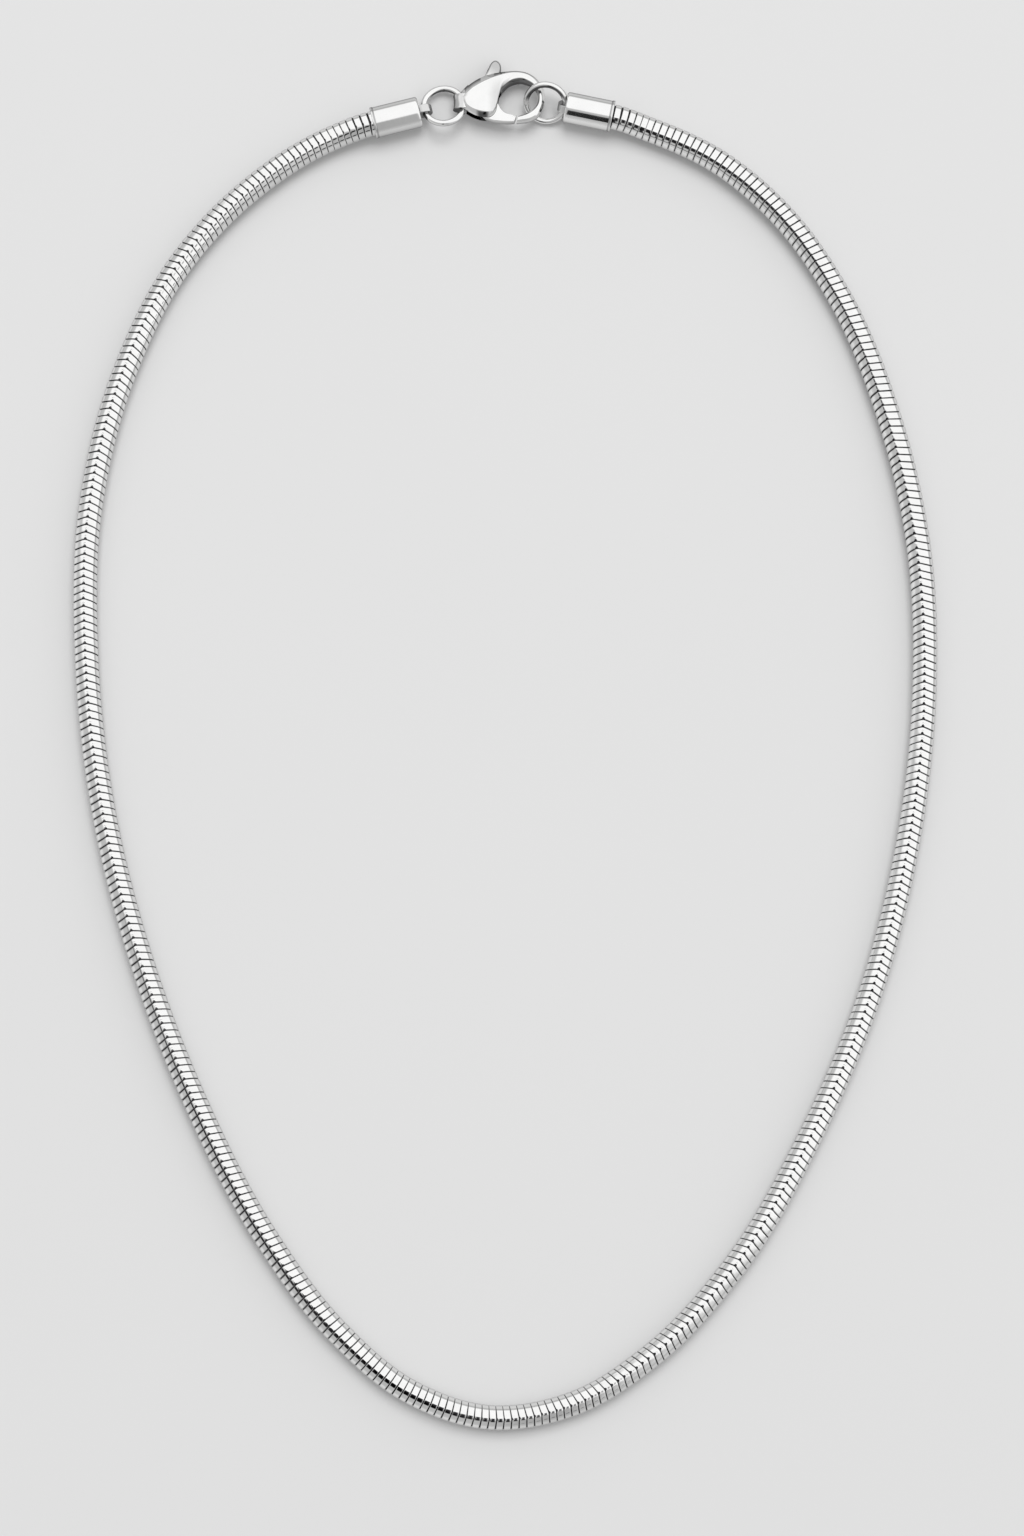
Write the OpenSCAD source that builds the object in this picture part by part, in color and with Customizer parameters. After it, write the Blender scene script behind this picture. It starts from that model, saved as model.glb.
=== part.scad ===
// A round snake chain necklace laid flat in an egg-shaped loop, fastened at the top.
// The loop lies on the plane z = 0, with the clasp towards +Y.
// The origin is the middle of the whole necklace, seen from above.

/* [Loop] */
// Width of the loop, between the middles of its two sides
loop_w = 110; // [95:1:125]
// Length of the loop, from its lowest point up to the mouths of the end caps
loop_l = 170; // [155:1:190]

/* [Chain] */
// Diameter of the round chain
chain_d = 3.2; // [2.8:0.1:3.6]
// Gap between the chain's end and the bottom of its cap
chain_end_gap = 0.3; // [0.1:0.05:0.6]

/* [End caps] */
// Length of each end cap
cap_l = 6.3; // [5.8:0.1:7.5]
// Wall of the cap round the chain
cap_wall = 0.3; // [0.25:0.05:0.5]
// Gap between the chain and the wall of its cap
cap_gap = 0.1; // [0.05:0.05:0.2]
// Solid end of the cap, between the chain and the eye
cap_end = 1.8; // [1.5:0.1:2.4]
// Depth of the dished end face
cap_dish = 0.6; // [0.4:0.05:0.8]
// Width of the rim round the dished face
cap_rim = 0.35; // [0.3:0.05:0.5]
// Radius of the cap's rounded outer edge at the eye
cap_round = 0.3; // [0.1:0.05:0.35]
// Width of the raised lip at the cap's mouth
cap_lip = 0.35; // [0.2:0.05:0.6]
// Height of the raised lip at the cap's mouth
cap_lip_h = 0.06; // [0.02:0.01:0.1]
// Angle at which the left cap rises towards the clasp
cap_rise_left = 13.8; // [8:0.2:18]
// Angle at which the right cap rises towards the clasp
cap_rise_right = 11.5; // [8:0.2:18]

/* [Cap eyes] */
// Wall of the small eye soldered into the end of each cap
eye_wall = 0.3; // [0.25:0.05:0.4]
// Width of the eye along its hole
eye_w = 1.1; // [0.9:0.1:1.3]
// Play of a jump ring's wire in an eye
eye_play = 0.6; // [0.5:0.05:0.7]
// How far the left eye's hole stands out beyond the rim of its cap
eye_out_left = 0.65; // [0.6:0.05:1]
// How far the right eye's hole stands out beyond the rim of its cap
eye_out_right = 0; // [0:0.05:0.4]
// Turn of the left eye about its cap
eye_turn_left = 12; // [0:1:20]
// Turn of the right eye about its cap
eye_turn_right = 36; // [30:1:40]

/* [Jump rings] */
// Outer diameter of each jump ring
ring_od = 6; // [5.8:0.1:6.4]
// Wire of each jump ring
ring_wire = 0.8; // [0.7:0.05:0.85]
// Tilt of the left jump ring, its upper side down
ring_tilt_left = 21; // [17:1:24]
// Tilt of the right jump ring, its upper side up
ring_tilt_right = 36; // [34:1:40]
// Direction in which the clasp's tail lies from the left ring's middle
ring_rise_left = 8; // [0:1:12]
// How far the right ring's middle lies beyond the outside of the claw
ring_past_claw = 0.15; // [0:0.05:0.4]

/* [Clasp] */
// Length of the lobster clasp
clasp_l = 12; // [11.6:0.1:12.6]
// Thickness of the clasp at its body
clasp_t = 3; // [2.8:0.1:3.2]
// Width of the bevel along the body's outer edge
clasp_bevel = 0.95; // [0.7:0.05:1.1]
// Width of the rounding along the body's inner edge
clasp_round = 0.7; // [0.5:0.05:0.9]
// Place of the clasp's tail, left of the middle
clasp_left = 7; // [6.5:0.1:8]
// Height of the clasp's tail above the cap mouths, seen from above
clasp_up = 2.1; // [1.5:0.05:3]
// Height of the clasp's middle over the surface
clasp_z = 1.95; // [1.9:0.05:2.1]
// Roll of the clasp, its upper side down
clasp_roll = 8; // [5:1:10]
// Width of the tail's eye along its hole
tail_w = 1.9; // [1.6:0.1:2.2]
// Wall of the tail's eye at its two ends
tail_wall = 0.4; // [0.35:0.05:0.6]
// Depth of the waist round the tail's eye
tail_waist = 0.12; // [0.05:0.01:0.15]
// Play of the left ring's wire in the tail's eye
tail_play = 0.85; // [0.7:0.05:0.9]
// How far the left ring's wire lies beyond the middle of the tail's hole
tail_pull = 0.15; // [0:0.05:0.2]

/* [Clasp lever] */
// Thickness of the lever
lever_t = 1.3; // [1:0.05:1.4]
// Gap on each side of the lever in its slot
lever_gap = 0.1; // [0.08:0.01:0.15]
// Reach of the gate's tip from the pin
gate_reach = 4.05; // [3.9:0.05:4.2]
// Gap between the gate's tip and the claw's tip
gate_gap = 0.3; // [0.2:0.02:0.4]
// Diameter of the pin
pin_d = 0.8; // [0.6:0.05:1]
// Gap between the pin and the lever's bore
pin_gap = 0.05; // [0.03:0.01:0.08]
// How far the pin goes into each cheek of the clasp
pin_seat = 0.5; // [0.3:0.05:0.6]

/* [Hidden] */
$fn = 64;

silver = "silver";
bright = "gainsboro";

// Route of the chain from the left cap down, round and up to the right cap.
// Columns: place across, as a share of half the loop's width, and
// place along, as a share of half the loop's length
route_shares = [
    [-0.420, 0.970], [-0.605, 0.895], [-0.780, 0.775], [-0.910, 0.610], [-0.990, 0.405],
    [-1.000, 0.170], [-0.960, -0.065], [-0.870, -0.295], [-0.740, -0.515], [-0.575, -0.720],
    [-0.400, -0.870], [-0.230, -0.960], [-0.040, -1.000], [0.155, -0.980], [0.345, -0.905],
    [0.540, -0.770], [0.725, -0.565], [0.865, -0.350], [0.955, -0.120], [0.995, 0.115],
    [0.980, 0.350], [0.905, 0.555], [0.795, 0.725], [0.645, 0.860], [0.505, 0.935],
    [0.340, 0.985]
];
route_sides = 8;
ring_step = 5.6;

// Outline of the clasp's body, one rib for each row, from the tail round to the claw.
// Columns: outer edge along and across, inner edge along and across, all as shares of the
// clasp's length from its tail, half the thickness as a share of the body's, and the widths
// of the bevel and the rounding as shares of the body's
claw_ribs = [
    [0.062, 0.088, 0.062, -0.074, 0.52, 0.60, 0.80],
    [0.108, 0.138, 0.108, -0.088, 0.76, 1.10, 2.20],
    [0.162, 0.190, 0.158, -0.112, 0.90, 1.26, 1.20],
    [0.240, 0.242, 0.228, -0.150, 0.97, 1.10, 1.03],
    [0.342, 0.292, 0.322, -0.178, 1.00, 1.00, 1.10],
    [0.430, 0.318, 0.402, -0.174, 1.00, 0.84, 1.00],
    [0.490, 0.330, 0.463, -0.116, 0.97, 0.72, 1.00],
    [0.540, 0.338, 0.487, -0.018, 0.93, 0.63, 1.00],
    [0.585, 0.343, 0.504, 0.074, 0.88, 0.55, 0.93],
    [0.635, 0.348, 0.556, 0.146, 0.82, 0.47, 0.80],
    [0.692, 0.350, 0.628, 0.206, 0.76, 0.42, 0.70],
    [0.765, 0.343, 0.725, 0.231, 0.70, 0.37, 0.63],
    [0.842, 0.317, 0.802, 0.214, 0.62, 0.35, 0.57],
    [0.918, 0.258, 0.868, 0.178, 0.53, 0.35, 0.50],
    [0.980, 0.162, 0.912, 0.118, 0.46, 0.35, 0.47],
    [0.998, 0.050, 0.925, 0.042, 0.44, 0.35, 0.45],
    [0.983, -0.062, 0.908, -0.030, 0.44, 0.35, 0.45],
    [0.925, -0.158, 0.862, -0.086, 0.44, 0.33, 0.45],
    [0.830, -0.212, 0.795, -0.126, 0.44, 0.32, 0.43]
];
// How many of a rib's first columns are places
rib_places = 4;
rib_steps = 2;
// Outer side of a rib. Columns: share of the bevel's width, share of the thickness
rib_bevel = [[0, 0.40], [0.08, 0.50], [1, 0.94]];
// Inner side of a rib. Columns: share of the rounding's width, share of the thickness
rib_round = [[0, 0.45], [0.12, 0.72], [0.42, 0.87], [1, 0.97]];
// The most of a rib's width that its bevel and rounding take
rib_share = 0.9;

// The pin's place, as shares of the clasp's length from its tail
pin_at = [0.358, -0.092];
// The claw's tip, in the last three columns of the ribs
tip_rib = [0.42, 0.30, 0.42];
// The gate's tip and the claw's tip face each other between these angles about the pin
tip_low = -22.5;
tip_high = -9.5;
tip_cuts = 3;

// Outline of the lever from the top of the gate's tip round to its bottom.
// Columns: along and across from the pin, as shares of the clasp's length
lever_outline = [
    [0.285, -0.050], [0.210, -0.028], [0.160, 0.022], [0.142, 0.058], [0.112, 0.105],
    [0.110, 0.200], [0.128, 0.320], [0.146, 0.395], [0.163, 0.445], [0.165, 0.485],
    [0.149, 0.530], [0.106, 0.558], [0.062, 0.535], [0.030, 0.475], [-0.004, 0.396],
    [-0.020, 0.310], [-0.040, 0.150], [-0.068, 0.040], [-0.070, -0.020], [-0.045, -0.060],
    [0.015, -0.095], [0.085, -0.119], [0.165, -0.129], [0.250, -0.133]
];
lever_steps = 2;
// Slot for the lever between the clasp's cheeks, as shares of the clasp's length
slot_outline = [
    [0.125, -0.300], [0.142, -0.115], [0.200, 0.010], [0.168, 0.185], [0.150, 0.450],
    [0.530, 0.450], [0.528, 0.270], [0.500, 0.150], [0.560, 0.075], [0.640, 0.060],
    [0.640, -0.300]
];

// Sizes worked out from the ones above
chain_r = chain_d / 2;
bore_r = chain_r + cap_gap;
cap_r = bore_r + cap_wall;
dish_mouth_r = cap_r - cap_rim;
dish_r = (pow(dish_mouth_r, 2) + pow(cap_dish, 2)) / (2 * cap_dish);
wire_r = ring_wire / 2;
ring_r = ring_od / 2 - wire_r;
eye_hole_r = (ring_wire + eye_play) / 2;
eye_r = eye_hole_r + eye_wall;
tail_hole_r = (ring_wire + tail_play) / 2;
tail_r = tail_hole_r + tail_wall;
waist_r = (pow(tail_w / 2, 2) + pow(tail_waist, 2)) / (2 * tail_waist);
cap_z = cap_r + cap_lip_h;
slot_t = lever_t + 2 * lever_gap;
chain_seat = cap_l - cap_end - chain_end_gap;
pin_r = pin_d / 2;
pin_l = slot_t + 2 * pin_seat;
tab_top = max([for (p = lever_outline) p[1]]) + pin_at[1];

// The middle of the loop lies so that the whole necklace is centred on the origin
loop_mid = -(clasp_up + tab_top * clasp_l - chain_r) / 2;
clasp_at = [-clasp_left, loop_mid + loop_l / 2 + clasp_up, clasp_z];

// Directions of the two caps, pointing at the clasp
aim_left = [cos(cap_rise_left), sin(cap_rise_left), 0];
aim_right = [-cos(cap_rise_right), sin(cap_rise_right), 0];
// The left ring hangs between the tail's eye and the left cap's eye
tail_eye_x = tail_r;
ring_left_at = clasp_at + [tail_eye_x + tail_pull - ring_r * cos(ring_rise_left),
                           -ring_r * sin(ring_rise_left), (cap_z - clasp_z) / 2];
rim_left_at = [ring_left_at[0], ring_left_at[1], cap_z] - (ring_r + eye_out_left) * aim_left;
mouth_left_at = rim_left_at - cap_l * aim_left;
// The right ring goes round the claw and through the right cap's eye
ring_right_at = [clasp_at[0] + clasp_l + ring_past_claw, clasp_at[1], cap_z];
rim_right_at = ring_right_at - (ring_r + eye_out_right) * aim_right;
mouth_right_at = rim_right_at - cap_l * aim_right;

// The chain's route, with its two ends in the mouths of the caps
route = concat(
    [mouth_left_at],
    [for (s = route_shares) [s[0] * loop_w / 2, loop_mid + s[1] * loop_l / 2, chain_r]],
    [mouth_right_at]
);

function unit(v) = v / norm(v);

function level(v) = [v[0], v[1], 0];

// Direction of the route at point i, which is level all the way
function slope(i) =
    i == 0 ? -aim_left :
    i == len(route) - 1 ? aim_right :
    let (
        before = level(route[i] - route[i - 1]),
        after = level(route[i + 1] - route[i]),
        a = norm(before),
        b = norm(after)
    )
    unit(before * b / a + after * a / b);

// Point a share t along the curve between two points with given end directions
function on_curve(p, q, m, n, t) =
    (2 * pow(t, 3) - 3 * pow(t, 2) + 1) * p + (pow(t, 3) - 2 * pow(t, 2) + t) * m
    + (3 * pow(t, 2) - 2 * pow(t, 3)) * q + (pow(t, 3) - pow(t, 2)) * n;

// Points of the route, with its ends sunk in the caps
function route_points() = concat(
    [mouth_left_at + chain_seat * aim_left],
    [for (i = [0:len(route) - 2])
        let (
            reach = norm(route[i + 1] - route[i]),
            cuts = ceil(reach / ring_step)
        )
        for (k = [0:cuts - 1])
            on_curve(route[i], route[i + 1], slope(i) * reach, slope(i + 1) * reach, k / cuts)],
    [mouth_right_at],
    [mouth_right_at + chain_seat * aim_right]
);

// Direction of a row of points at point i
function heading(p, i) = unit(p[min(i + 1, len(p) - 1)] - p[max(i - 1, 0)]);

// One ring of the tube round a point, square to the given direction
function tube_ring(at, along, r, sides) =
    let (
        side = unit(cross(along, [0, 0, 1])),
        down = cross(along, side)
    )
    [for (k = [0:sides - 1]) at + r * (cos(k * 360 / sides) * side + sin(k * 360 / sides) * down)];

// Faces that join rings of points into a closed skin
function skin_faces(rings, sides) = concat(
    [[for (k = [0:sides - 1]) k]],
    [for (j = [0:rings - 2]) for (k = [0:sides - 1])
        let (next = (k + 1) % sides)
        [j * sides + k, (j + 1) * sides + k, (j + 1) * sides + next, j * sides + next]],
    [[for (k = [sides - 1:-1:0]) (rings - 1) * sides + k]]
);

// Value of a table row between two rows, on a smooth curve through all of them
function smooth_row(rows, i, t) =
    let (
        last = len(rows) - 1,
        m = (rows[i + 1] - rows[max(i - 1, 0)]) / 2,
        n = (rows[min(i + 2, last)] - rows[i]) / 2
    )
    on_curve(rows[i], rows[i + 1], m, n, t);

// The claw's last rib faces the gate's tip, at the same distance all over
function tip_point(angle) =
    pin_at * clasp_l + (gate_reach + gate_gap) * [cos(angle), sin(angle)];

function all_ribs() = concat(
    [for (r = claw_ribs) [for (i = [0:len(r) - 1]) i < rib_places ? r[i] * clasp_l : r[i]]],
    [concat(tip_point(tip_low), tip_point(tip_high), tip_rib)]
);

function smooth_ribs() =
    let (ribs = all_ribs(), last = len(ribs) - 1)
    concat(
        [for (i = [0:last - 1]) for (k = [0:rib_steps - 1]) smooth_row(ribs, i, k / rib_steps)],
        [ribs[last]]
    );

// Upper half of a rib, from its outer edge to its inner edge.
// Columns: place along the rib from its middle, height
function rib_half(half_w, half_t, bevel_share, round_share) =
    let (
        wanted = bevel_share * clasp_bevel + round_share * clasp_round,
        fit = min(1, rib_share * 2 * half_w / wanted),
        bevel = fit * bevel_share * clasp_bevel,
        round = fit * round_share * clasp_round
    )
    concat(
        [for (s = rib_bevel) [half_w - s[0] * bevel, s[1] * half_t]],
        [[(round - bevel) / 2, half_t]],
        [for (i = [len(rib_round) - 1:-1:0])
            [-half_w + rib_round[i][0] * round, rib_round[i][1] * half_t]]
    );

function rib_ring(r) =
    let (
        outer = [r[0], r[1]],
        inner = [r[2], r[3]],
        middle = (outer + inner) / 2,
        along = unit(outer - inner),
        half_w = norm(outer - inner) / 2,
        half_t = r[4] * clasp_t / 2,
        top = rib_half(half_w, half_t, r[5], r[6]),
        low = [for (i = [len(top) - 1:-1:0]) [top[i][0], -top[i][1]]]
    )
    [for (q = concat(top, low)) [middle[0] + q[0] * along[0], middle[1] + q[0] * along[1], q[1]]];

// Gate's tip as an arc about the pin, then the rest of the lever
function lever_points() =
    let (
        table = [for (p = lever_outline) p * clasp_l],
        last = len(table) - 1
    )
    concat(
        [for (k = [0:tip_cuts])
            let (a = mix(tip_low, tip_high, k / tip_cuts)) gate_reach * [cos(a), sin(a)]],
        [for (i = [0:last - 1]) for (k = [0:lever_steps - 1])
            smooth_row(table, i, k / lever_steps)],
        [table[last]]
    );

function mix(a, b, t) = a + (b - a) * t;

// Places a piece of the clasp, which is drawn lying flat with its tail at the origin
module in_clasp() {
    translate(clasp_at) rotate([-clasp_roll, 0, 0]) children();
}

// Round snake chain as a smooth round rope, its ends sunk in the caps
module snake_chain() {
    points = route_points();
    skin = [for (i = [0:len(points) - 1])
        each tube_ring(points[i], heading(points, i), chain_r, route_sides)];
    color(silver) polyhedron(points = skin, faces = skin_faces(len(points), route_sides));
}

// Outside of an end cap along +X, from its mouth to the rim at its eye
module cap_outside() {
    rotate([0, 90, 0]) rotate_extrude() {
        square([cap_r, cap_l - cap_round]);
        square([cap_r - cap_round, cap_l]);
        translate([cap_r - cap_round, cap_l - cap_round]) circle(cap_round);
        square([cap_r + cap_lip_h, cap_lip]);
    }
}

// End cap with its mouth at the origin and its eye towards +X
module end_cap(eye_out) {
    eye_x = cap_l + eye_out;
    difference() {
        union() {
            difference() {
                cap_outside();
                translate([cap_l - cap_dish + dish_r, 0, 0]) sphere(dish_r);
            }
            translate([eye_x, 0, 0]) rotate([90, 0, 0]) cylinder(h = eye_w, r = eye_r, center = true);
            translate([cap_l - cap_end + cap_dish, -eye_w / 2, -eye_r])
                cube([eye_x - cap_l + cap_end - cap_dish, eye_w, 2 * eye_r]);
        }
        translate([eye_x, 0, 0]) rotate([90, 0, 0])
            cylinder(h = 2 * dish_mouth_r, r = eye_hole_r, center = true);
        rotate([0, 90, 0]) translate([0, 0, -cap_lip]) cylinder(h = cap_lip + cap_l - cap_end, r = bore_r);
    }
}

module end_cap_left() {
    color(bright) translate(mouth_left_at) rotate([0, 0, cap_rise_left])
        rotate([-eye_turn_left, 0, 0]) end_cap(eye_out_left);
}

module end_cap_right() {
    color(bright) translate(mouth_right_at) rotate([0, 0, 180 - cap_rise_right])
        rotate([-eye_turn_right, 0, 0]) end_cap(eye_out_right);
}

module jump_ring() {
    rotate_extrude() translate([ring_r, 0]) circle(wire_r);
}

module jump_ring_left() {
    color(silver) translate(ring_left_at) rotate([0, 0, cap_rise_left / 2])
        rotate([-ring_tilt_left, 0, 0]) jump_ring();
}

module jump_ring_right() {
    color(silver) translate(ring_right_at) rotate([0, 0, -cap_rise_right])
        rotate([ring_tilt_right, 0, 0]) jump_ring();
}

// Eye at the clasp's tail, waisted round the middle
module tail_eye() {
    translate([tail_eye_x, 0, 0]) rotate([90, 0, 0]) rotate_extrude() difference() {
        translate([0, -tail_w / 2]) square([tail_r, tail_w]);
        translate([tail_r - tail_waist + waist_r, 0]) circle(waist_r);
    }
}

module clasp_body() {
    ribs = smooth_ribs();
    skin = [for (r = ribs) each rib_ring(r)];
    sides = len(rib_ring(ribs[0]));
    color(bright) in_clasp() difference() {
        union() {
            polyhedron(points = skin, faces = skin_faces(len(ribs), sides));
            tail_eye();
        }
        translate([tail_eye_x, 0, 0]) rotate([90, 0, 0])
            cylinder(h = 2 * tail_w, r = tail_hole_r, center = true);
        linear_extrude(slot_t, center = true)
            polygon([for (p = slot_outline) p * clasp_l]);
        translate(concat(pin_at * clasp_l, [0])) cylinder(h = pin_l, r = pin_r, center = true);
    }
}

// Blind pin between the clasp's cheeks, hidden inside
module clasp_pin() {
    color(silver) in_clasp() translate(concat(pin_at * clasp_l, [0]))
        cylinder(h = pin_l - pin_gap, r = pin_r - pin_gap / 2, center = true);
}

// Lever with the gate at one end and the thumb tab at the other
module clasp_lever() {
    color(bright) in_clasp() translate(concat(pin_at * clasp_l, [0])) difference() {
        linear_extrude(lever_t, center = true) polygon(lever_points());
        cylinder(h = 2 * lever_t, r = pin_r + pin_gap / 2, center = true);
    }
}

snake_chain();
end_cap_left();
end_cap_right();
jump_ring_left();
jump_ring_right();
clasp_body();
clasp_pin();
clasp_lever();
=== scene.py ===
# A round snake chain necklace, laid flat on a pale surface in an egg-shaped loop.
# Lengths are in metres and angles in degrees, unless a comment says otherwise.
import math

import bpy
import numpy as np
from mathutils import Matrix, Vector


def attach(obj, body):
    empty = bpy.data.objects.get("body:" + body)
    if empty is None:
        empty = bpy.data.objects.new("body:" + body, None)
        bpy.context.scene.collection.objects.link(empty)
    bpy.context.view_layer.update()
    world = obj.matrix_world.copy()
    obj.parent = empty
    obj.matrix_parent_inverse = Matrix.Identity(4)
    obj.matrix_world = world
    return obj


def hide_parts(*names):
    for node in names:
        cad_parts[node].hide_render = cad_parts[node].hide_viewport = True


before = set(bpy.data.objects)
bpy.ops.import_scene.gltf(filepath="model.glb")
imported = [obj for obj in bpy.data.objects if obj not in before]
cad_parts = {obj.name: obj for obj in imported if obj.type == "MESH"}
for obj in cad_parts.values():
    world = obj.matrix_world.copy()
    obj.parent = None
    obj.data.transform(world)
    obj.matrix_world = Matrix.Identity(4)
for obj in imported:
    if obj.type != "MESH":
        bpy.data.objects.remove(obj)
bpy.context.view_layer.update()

MM = 0.001

# Camera, straight over the middle of the photograph's frame. Sensor and lens are in millimetres
VIEW_MIDDLE = (0.7205 * MM, -2.9673 * MM)
VIEW_HEIGHT = 460 * MM
SENSOR = 36
LENS = 82.01
CLIP_NEAR = 0.01
CLIP_FAR = 20

# Loop and chain
LOOP_W = 110 * MM
LOOP_L = 170 * MM
CHAIN_R = 1.6 * MM
CHAIN_SEAT = 4.2 * MM
# Route of the chain, as shares of half the loop's width and of half its length
ROUTE_SHARES = [
    (-0.420, 0.970), (-0.605, 0.895), (-0.780, 0.775), (-0.910, 0.610), (-0.990, 0.405),
    (-1.000, 0.170), (-0.960, -0.065), (-0.870, -0.295), (-0.740, -0.515), (-0.575, -0.720),
    (-0.400, -0.870), (-0.230, -0.960), (-0.040, -1.000), (0.155, -0.980), (0.345, -0.905),
    (0.540, -0.770), (0.725, -0.565), (0.865, -0.350), (0.955, -0.120), (0.995, 0.115),
    (0.980, 0.350), (0.905, 0.555), (0.795, 0.725), (0.645, 0.860), (0.505, 0.935),
    (0.340, 0.985),
]
ROUTE_CUTS = 60
# Half the stretch of chain that gives a link its direction
TANGENT_STEP = 0.2 * MM

# End caps and their eyes. A cap's rise is its angle off the X axis, and its eye's turn is about the
# cap's own axis
CAP_L = 6.3 * MM
CAP_WALL = 0.3 * MM
CAP_GAP = 0.1 * MM
CAP_END = 1.8 * MM
CAP_DISH = 0.6 * MM
CAP_RIM = 0.35 * MM
CAP_ROUND = 0.3 * MM
CAP_LIP = 0.35 * MM
CAP_LIP_H = 0.06 * MM
CAP_RISE_LEFT = 13.8
CAP_RISE_RIGHT = 11.5
# The bevel inside the mouth, along the cap and out from its bore
MOUTH_BEVEL = (0.06 * MM, 0.05 * MM)
# Distance of a loop of points from the lip and from the rounded end, which keeps the side even
SIDE_LOOP = 0.25 * MM
# Profile of the lip, along from the mouth and out from the cap's side
LIP_PROFILE = [
    (0, -0.02 * MM), (0.03 * MM, 0.04 * MM), (0.09 * MM, CAP_LIP_H), (CAP_LIP - 0.06 * MM, CAP_LIP_H),
    (CAP_LIP - 0.01 * MM, 0.03 * MM), (CAP_LIP + 0.03 * MM, 0), (CAP_LIP + 0.12 * MM, 0),
    (CAP_LIP + SIDE_LOOP, 0),
]
EYE_WALL = 0.3 * MM
EYE_W = 1.1 * MM
EYE_PLAY = 0.6 * MM
EYE_BEVEL = 0.1 * MM
EYE_OUT_LEFT = 0.65 * MM
EYE_OUT_RIGHT = 0.0
EYE_TURN_LEFT = 12
EYE_TURN_RIGHT = 36
# How much narrower the eye's stem is than the eye at each side, and its height as a share of the
# eye's
STEM_INSET = 0.02 * MM
STEM_SHARE = 0.98

# Jump rings. The tilt is about the line from cap to clasp, and the left ring's rise is the angle
# off the X axis at which it hangs on the clasp
RING_OD = 6 * MM
RING_WIRE = 0.8 * MM
RING_TILT_LEFT = 21
RING_TILT_RIGHT = 36
RING_RISE_LEFT = 8
RING_PAST_CLAW = 0.15 * MM

# Lobster clasp. The roll is about the X axis
CLASP_L = 12 * MM
CLASP_T = 3 * MM
CLASP_BEVEL = 0.95 * MM
CLASP_ROUND = 0.7 * MM
CLASP_LEFT = 7 * MM
CLASP_UP = 2.1 * MM
CLASP_Z = 1.95 * MM
CLASP_ROLL = 8
TAIL_W = 1.9 * MM
TAIL_WALL = 0.4 * MM
TAIL_WAIST = 0.12 * MM
TAIL_PLAY = 0.85 * MM
TAIL_PULL = 0.15 * MM
LEVER_T = 1.3 * MM
LEVER_GAP = 0.1 * MM
LEVER_EDGE = 0.1 * MM
TAB_RIM = 0.12 * MM
GATE_REACH = 4.05 * MM
GATE_GAP = 0.3 * MM
PIN_D = 0.8 * MM
PIN_GAP = 0.05 * MM
PIN_SEAT = 0.5 * MM
# The pin's place, as shares of the clasp's length along it and across, as in the tables below
PIN_AT = np.array([0.358, -0.092])

# Ribs of the clasp's body, from the tail round to the claw. Columns: outer edge along and
# across, inner edge along and across, as shares of the clasp's length, and shares of its
# thickness, of its bevel's width and of its rounding's
CLAW_RIBS = np.array([
    [0.062, 0.088, 0.062, -0.074, 0.52, 0.60, 0.80],
    [0.108, 0.138, 0.108, -0.088, 0.76, 1.10, 2.20],
    [0.162, 0.190, 0.158, -0.112, 0.90, 1.26, 1.20],
    [0.240, 0.242, 0.228, -0.150, 0.97, 1.10, 1.03],
    [0.342, 0.292, 0.322, -0.178, 1.00, 1.00, 1.10],
    [0.430, 0.318, 0.402, -0.174, 1.00, 0.84, 1.00],
    [0.490, 0.330, 0.463, -0.116, 0.97, 0.72, 1.00],
    [0.540, 0.338, 0.487, -0.018, 0.93, 0.63, 1.00],
    [0.585, 0.343, 0.504, 0.074, 0.88, 0.55, 0.93],
    [0.635, 0.348, 0.556, 0.146, 0.82, 0.47, 0.80],
    [0.692, 0.350, 0.628, 0.206, 0.76, 0.42, 0.70],
    [0.765, 0.343, 0.725, 0.231, 0.70, 0.37, 0.63],
    [0.842, 0.317, 0.802, 0.214, 0.62, 0.35, 0.57],
    [0.918, 0.258, 0.868, 0.178, 0.53, 0.35, 0.50],
    [0.980, 0.162, 0.912, 0.118, 0.46, 0.35, 0.47],
    [0.998, 0.050, 0.925, 0.042, 0.44, 0.35, 0.45],
    [0.983, -0.062, 0.908, -0.030, 0.44, 0.35, 0.45],
    [0.925, -0.158, 0.862, -0.086, 0.44, 0.33, 0.45],
    [0.830, -0.212, 0.795, -0.126, 0.44, 0.32, 0.43],
])
# How many of the columns are places, and the steps from one rib to the next
RIB_PLACES = 4
RIB_STEPS = 6
# Sides of a rib. Columns: share of the bevel's or rounding's width, share of the thickness
RIB_BEVEL = [(0, 0.34), (0.02, 0.42), (0.10, 0.51), (0.90, 0.915), (0.97, 0.95), (1.05, 0.975)]
RIB_ROUND = [(0, 0.40), (0.02, 0.52), (0.06, 0.60), (0.13, 0.66), (0.64, 0.90), (0.80, 0.94), (1, 0.97)]
# Largest share of a rib's width that its bevel and rounding take together
RIB_SHARE = 0.9
# The last rib, at the gate: its last three columns, and the directions of its edges from the pin
TIP_RIB = [0.42, 0.30, 0.42]
TIP_LOW = -22.5
TIP_HIGH = -9.5
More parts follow.
